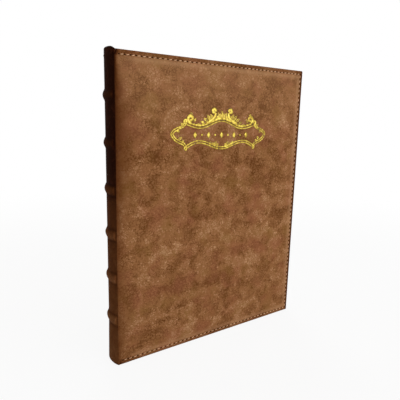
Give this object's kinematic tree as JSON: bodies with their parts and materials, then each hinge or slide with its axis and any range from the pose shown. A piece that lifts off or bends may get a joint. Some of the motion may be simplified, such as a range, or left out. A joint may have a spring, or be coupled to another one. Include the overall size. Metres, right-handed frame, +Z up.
{
  "type": "photo album",
  "caption": "Padded leather photo album bound as a book, with a rounded hubbed spine, hinged covers and a fan of leaves with clear slip-in pockets.",
  "frame": {"origin": "under the middle of the box round the closed album, on the surface it stands on", "axes": "+Z up along the spine, -Y out of the front cover, +X towards the fore-edge"},
  "size_m": [0.1848, 0.02, 0.237],
  "materials": {
    "nubuck_leather": "mottled brown nubuck, matt",
    "board": "grey binder's board",
    "foam": "thin foam sheet",
    "endpaper": "laid ivory paper",
    "gold_foil": "bright gold foil",
    "liner_cloth": "open-weave cloth",
    "band_silk": "striped band",
    "wire": "drawn wire",
    "guard_card": "thick card",
    "leaf_card": "smooth ivory card",
    "pocket_film": "clear film"
  },
  "bodies": {
    "binding": {"spine_board": "board", "raised_bands": "board", "spine_leather": "nubuck_leather", "spine_liner": "liner_cloth", "head_band": "band_silk", "tail_band": "band_silk", "binding_staples": "wire", "front_flyleaf_tip": "endpaper", "rear_flyleaf_tip": "endpaper", "guard_01": "guard_card", "guard_02": "guard_card", "guard_03": "guard_card", "guard_04": "guard_card", "guard_05": "guard_card", "guard_06": "guard_card", "guard_07": "guard_card", "guard_08": "guard_card", "guard_09": "guard_card", "guard_10": "guard_card", "guard_11": "guard_card", "guard_12": "guard_card"},
    "front_cover": {"front_board": "board", "front_padding": "foam", "front_leather": "nubuck_leather", "front_infill": "board", "front_lining": "endpaper", "gold_frame": "gold_foil"},
    "rear_cover": {"rear_board": "board", "rear_padding": "foam", "rear_leather": "nubuck_leather", "rear_infill": "board", "rear_lining": "endpaper"},
    "front_flyleaf": {"front_flyleaf": "endpaper"},
    "rear_flyleaf": {"rear_flyleaf": "endpaper"},
    "leaf_01": {"leaf_01": "leaf_card", "pockets_01": "pocket_film"},
    "leaf_02": {"leaf_02": "leaf_card", "pockets_02": "pocket_film"},
    "leaf_03": {"leaf_03": "leaf_card", "pockets_03": "pocket_film"},
    "leaf_04": {"leaf_04": "leaf_card", "pockets_04": "pocket_film"},
    "leaf_05": {"leaf_05": "leaf_card", "pockets_05": "pocket_film"},
    "leaf_06": {"leaf_06": "leaf_card", "pockets_06": "pocket_film"},
    "leaf_07": {"leaf_07": "leaf_card", "pockets_07": "pocket_film"},
    "leaf_08": {"leaf_08": "leaf_card", "pockets_08": "pocket_film"},
    "leaf_09": {"leaf_09": "leaf_card", "pockets_09": "pocket_film"},
    "leaf_10": {"leaf_10": "leaf_card", "pockets_10": "pocket_film"},
    "leaf_11": {"leaf_11": "leaf_card", "pockets_11": "pocket_film"},
    "leaf_12": {"leaf_12": "leaf_card", "pockets_12": "pocket_film"}
  },
  "joints": [
    {"name": "front_cover_open", "type": "hinge", "parent": "binding", "child": "front_cover", "pos_m": [-0.0886, -0.00965, 0], "axis": [0, 0, -1], "range_deg": [0, 178]},
    {"name": "rear_cover_open", "type": "hinge", "parent": "binding", "child": "rear_cover", "pos_m": [-0.0886, 0.00975, 0], "axis": [0, 0, 1], "range_deg": [0, 178]},
    {"name": "front_flyleaf_turn", "type": "hinge", "parent": "binding", "child": "front_flyleaf", "pos_m": [-0.0766, -0.00517, 0], "axis": [0, 0, -1], "range_deg": [0, 74.76]},
    {"name": "leaf_01_turn", "type": "hinge", "parent": "binding", "child": "leaf_01", "pos_m": [-0.0766, -0.00462, 0], "axis": [0, 0, -1], "range_deg": [0, 64.08]},
    {"name": "leaf_02_turn", "type": "hinge", "parent": "binding", "child": "leaf_02", "pos_m": [-0.0766, -0.00378, 0], "axis": [0, 0, -1], "range_deg": [0, 53.4]},
    {"name": "leaf_03_turn", "type": "hinge", "parent": "binding", "child": "leaf_03", "pos_m": [-0.0766, -0.00293, 0], "axis": [0, 0, -1], "range_deg": [0, 42.72]},
    {"name": "leaf_04_turn", "type": "hinge", "parent": "binding", "child": "leaf_04", "pos_m": [-0.0766, -0.00208, 0], "axis": [0, 0, -1], "range_deg": [0, 32.04]},
    {"name": "leaf_05_turn", "type": "hinge", "parent": "binding", "child": "leaf_05", "pos_m": [-0.0766, -0.00122, 0], "axis": [0, 0, -1], "range_deg": [0, 21.36]},
    {"name": "leaf_06_turn", "type": "hinge", "parent": "binding", "child": "leaf_06", "pos_m": [-0.0766, -0.00038, 0], "axis": [0, 0, -1], "range_deg": [0, 10.68]},
    {"name": "leaf_07_turn", "type": "hinge", "parent": "binding", "child": "leaf_07", "pos_m": [-0.0766, 0.00047, 0], "axis": [0, 0, 1], "range_deg": [0, 10.68]},
    {"name": "leaf_08_turn", "type": "hinge", "parent": "binding", "child": "leaf_08", "pos_m": [-0.0766, 0.00133, 0], "axis": [0, 0, 1], "range_deg": [0, 21.36]},
    {"name": "leaf_09_turn", "type": "hinge", "parent": "binding", "child": "leaf_09", "pos_m": [-0.0766, 0.00217, 0], "axis": [0, 0, 1], "range_deg": [0, 32.04]},
    {"name": "leaf_10_turn", "type": "hinge", "parent": "binding", "child": "leaf_10", "pos_m": [-0.0766, 0.00302, 0], "axis": [0, 0, 1], "range_deg": [0, 42.72]},
    {"name": "leaf_11_turn", "type": "hinge", "parent": "binding", "child": "leaf_11", "pos_m": [-0.0766, 0.00387, 0], "axis": [0, 0, 1], "range_deg": [0, 53.4]},
    {"name": "leaf_12_turn", "type": "hinge", "parent": "binding", "child": "leaf_12", "pos_m": [-0.0766, 0.00473, 0], "axis": [0, 0, 1], "range_deg": [0, 64.08]},
    {"name": "rear_flyleaf_turn", "type": "hinge", "parent": "binding", "child": "rear_flyleaf", "pos_m": [-0.0766, 0.00528, 0], "axis": [0, 0, 1], "range_deg": [0, 74.76]}
  ],
  "couplings": [
    {"joint": "front_flyleaf_turn", "follows": "front_cover_open", "ratio": 0.42},
    {"joint": "leaf_01_turn", "follows": "front_cover_open", "ratio": 0.36},
    {"joint": "leaf_02_turn", "follows": "front_cover_open", "ratio": 0.3},
    {"joint": "leaf_03_turn", "follows": "front_cover_open", "ratio": 0.24},
    {"joint": "leaf_04_turn", "follows": "front_cover_open", "ratio": 0.18},
    {"joint": "leaf_05_turn", "follows": "front_cover_open", "ratio": 0.12},
    {"joint": "leaf_06_turn", "follows": "front_cover_open", "ratio": 0.06},
    {"joint": "leaf_07_turn", "follows": "rear_cover_open", "ratio": 0.06},
    {"joint": "leaf_08_turn", "follows": "rear_cover_open", "ratio": 0.12},
    {"joint": "leaf_09_turn", "follows": "rear_cover_open", "ratio": 0.18},
    {"joint": "leaf_10_turn", "follows": "rear_cover_open", "ratio": 0.24},
    {"joint": "leaf_11_turn", "follows": "rear_cover_open", "ratio": 0.3},
    {"joint": "leaf_12_turn", "follows": "rear_cover_open", "ratio": 0.36},
    {"joint": "rear_flyleaf_turn", "follows": "rear_cover_open", "ratio": 0.42}
  ]
}
